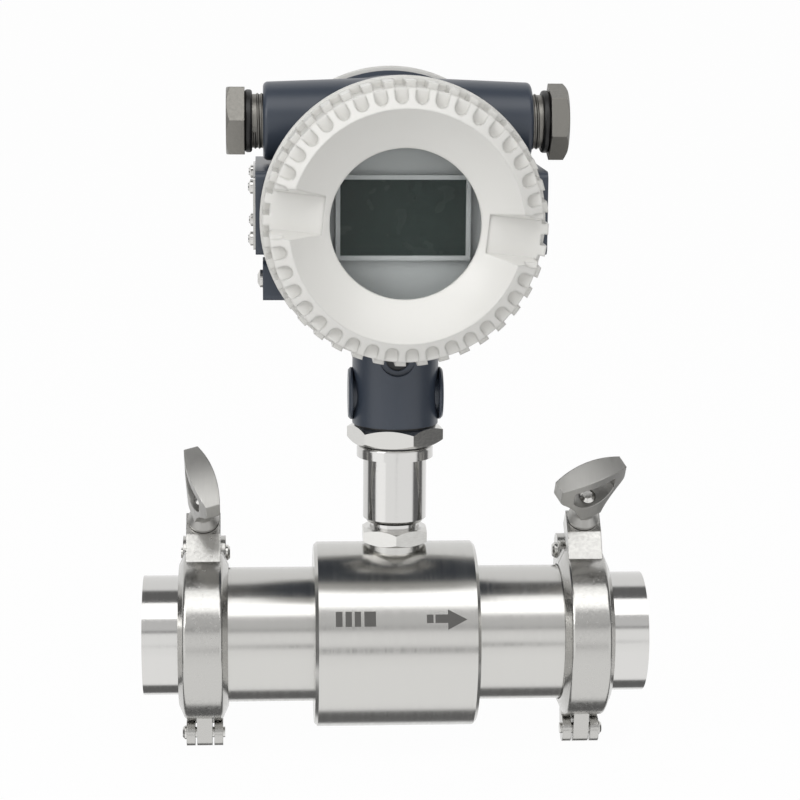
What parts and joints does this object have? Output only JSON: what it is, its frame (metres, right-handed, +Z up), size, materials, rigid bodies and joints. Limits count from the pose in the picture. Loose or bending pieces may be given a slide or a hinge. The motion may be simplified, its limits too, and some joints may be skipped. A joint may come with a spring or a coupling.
{
  "type": "turbine flow meter",
  "caption": "Sanitary turbine flow meter: clamped weld ends, bladed rotor between vaned guides, and a swivelling round display head on a standpipe.",
  "frame": {"origin": "centre of the inlet mouth, on the pipe's axis", "axes": "+X with the flow, -Y towards the display's reader, +Z up along the neck"},
  "size_m": [0.1862, 0.126, 0.2521],
  "materials": {
    "stainless_turned": "fine turned stainless steel, electropolished",
    "stainless_cast": "investment-cast stainless steel, tumbled",
    "stainless_bright": "bright machined stainless steel",
    "nickel_plugs": "nickel-plated brass, satin",
    "navy_paint": "gloss powder coat, navy",
    "ivory_paint": "gloss powder coat, off-white",
    "window_glass": "clear float glass",
    "black_rubber": "matt nitrile rubber",
    "white_seal": "white silicone",
    "face_grey": "satin polycarbonate",
    "lcd_dark": "dark liquid crystal panel",
    "board_green": "glass-fibre board with solder mask",
    "terminal_grey": "moulded polyamide",
    "name_steel": "brushed stainless sheet, bare",
    "magnetic_steel": "ferritic stainless steel",
    "carbide": "ground tungsten carbide",
    "coil_resin": "coil potted in resin"
  },
  "bodies": {
    "root": {"meter_body": "stainless_turned", "upstream_guide": "stainless_turned", "downstream_guide": "stainless_turned", "upstream_retaining_ring": "stainless_turned", "downstream_retaining_ring": "stainless_turned", "rotor_shaft": "carbide", "upstream_thrust_washer": "carbide", "downstream_thrust_washer": "carbide", "inlet_ferrule": "stainless_turned", "outlet_ferrule": "stainless_turned", "inlet_gasket": "white_seal", "outlet_gasket": "white_seal", "inlet_clamp_rear": "stainless_cast", "outlet_clamp_rear": "stainless_cast", "inlet_hinge_pin": "stainless_bright", "outlet_hinge_pin": "stainless_bright", "inlet_pivot_pin": "stainless_bright", "outlet_pivot_pin": "stainless_bright", "lower_lock_nut": "stainless_bright", "standpipe": "stainless_turned", "pickup_coil": "coil_resin", "collar_seal": "black_rubber", "upper_hex_nut": "stainless_bright", "neck_seal": "black_rubber"},
    "rotor": {"rotor": "magnetic_steel", "rotor_bush": "carbide"},
    "inlet_clamp_front": {"inlet_clamp_front": "stainless_cast"},
    "inlet_bolt": {"inlet_swing_bolt": "stainless_bright"},
    "inlet_nut": {"inlet_wing_nut": "stainless_cast"},
    "outlet_clamp_front": {"outlet_clamp_front": "stainless_cast"},
    "outlet_bolt": {"outlet_swing_bolt": "stainless_bright"},
    "outlet_nut": {"outlet_wing_nut": "stainless_cast"},
    "head": {"housing": "navy_paint", "display_face": "face_grey", "lcd_panel": "lcd_dark", "circuit_board": "board_green", "terminal_block": "terminal_grey", "nameplate": "name_steel", "nameplate_screws": "stainless_bright", "earth_screw": "stainless_bright", "neck_caps": "navy_paint", "neck_set_screw": "carbide"},
    "front_seal": {"front_cover_seal": "black_rubber"},
    "front_cover": {"front_cover": "ivory_paint", "glass_gasket": "black_rubber", "window_glass": "window_glass", "glass_ring": "navy_paint"},
    "rear_seal": {"rear_cover_seal": "black_rubber"},
    "rear_cover": {"rear_cover": "ivory_paint"},
    "left_seal": {"left_plug_seal": "black_rubber"},
    "left_plug": {"left_plug": "nickel_plugs"},
    "right_seal": {"right_plug_seal": "black_rubber"},
    "right_plug": {"right_plug": "nickel_plugs"}
  },
  "joints": [
    {"name": "rotor_spin", "type": "hinge", "parent": "root", "child": "rotor", "pos_m": [0.0931, 0, 0], "axis": [1, 0, 0], "continuous": true},
    {"name": "inlet_bolt_swing", "type": "hinge", "parent": "root", "child": "inlet_bolt", "pos_m": [0.0223, 0.0164, 0.0273], "axis": [-1, 0, 0], "range_deg": [0, 120]},
    {"name": "inlet_nut_travel", "type": "slide", "parent": "inlet_bolt", "child": "inlet_nut", "axis": [0, -0.682, 0.7314], "range_m": [0, 0.057]},
    {"name": "inlet_clamp_hinge", "type": "hinge", "parent": "root", "child": "inlet_clamp_front", "pos_m": [0.0223, 0, -0.038], "axis": [1, 0, 0], "range_deg": [0, 60]},
    {"name": "outlet_bolt_swing", "type": "hinge", "parent": "root", "child": "outlet_bolt", "pos_m": [0.1639, 0.0164, 0.0273], "axis": [-1, 0, 0], "range_deg": [0, 120]},
    {"name": "outlet_nut_travel", "type": "slide", "parent": "outlet_bolt", "child": "outlet_nut", "axis": [0, -0.682, 0.7314], "range_m": [0, 0.057]},
    {"name": "outlet_clamp_hinge", "type": "hinge", "parent": "root", "child": "outlet_clamp_front", "pos_m": [0.1639, 0, -0.038], "axis": [1, 0, 0], "range_deg": [0, 60]},
    {"name": "head_swivel", "type": "hinge", "parent": "root", "child": "head", "pos_m": [0.0931, 0, 0.0724], "axis": [0, 0, 1], "range_deg": [-175, 175]},
    {"name": "front_cover_advance", "type": "slide", "parent": "head", "child": "front_seal", "axis": [0, -1, 0], "range_m": [0, 0.01507]},
    {"name": "front_cover_unscrew", "type": "hinge", "parent": "front_seal", "child": "front_cover", "pos_m": [0.0931, -0.036, 0.1595], "axis": [0, -1, 0], "range_deg": [0, 2700]},
    {"name": "rear_cover_advance", "type": "slide", "parent": "head", "child": "rear_seal", "axis": [0, 1, 0], "range_m": [0, 0.01507]},
    {"name": "rear_cover_unscrew", "type": "hinge", "parent": "rear_seal", "child": "rear_cover", "pos_m": [0.0931, 0.04, 0.1595], "axis": [0, 1, 0], "range_deg": [0, 2700]},
    {"name": "left_plug_advance", "type": "slide", "parent": "head", "child": "left_seal", "axis": [-1, 0, 0], "range_m": [0, 0.01055]},
    {"name": "left_plug_unscrew", "type": "hinge", "parent": "left_seal", "child": "left_plug", "pos_m": [0.0449, 0, 0.1909], "axis": [-1, 0, 0], "range_deg": [0, 2520]},
    {"name": "right_plug_advance", "type": "slide", "parent": "head", "child": "right_seal", "axis": [1, 0, 0], "range_m": [0, 0.01055]},
    {"name": "right_plug_unscrew", "type": "hinge", "parent": "right_seal", "child": "right_plug", "pos_m": [0.1413, 0, 0.1909], "axis": [1, 0, 0], "range_deg": [0, 2520]}
  ],
  "couplings": [
    {"joint": "inlet_clamp_hinge", "follows": "inlet_nut_travel", "rad_per_m": 17.5},
    {"joint": "outlet_clamp_hinge", "follows": "outlet_nut_travel", "rad_per_m": 17.5},
    {"joint": "front_cover_advance", "follows": "front_cover_unscrew", "m_per_rad": 0.00031831},
    {"joint": "rear_cover_advance", "follows": "rear_cover_unscrew", "m_per_rad": 0.00031831},
    {"joint": "left_plug_advance", "follows": "left_plug_unscrew", "m_per_rad": 0.00023873},
    {"joint": "right_plug_advance", "follows": "right_plug_unscrew", "m_per_rad": 0.00023873}
  ]
}
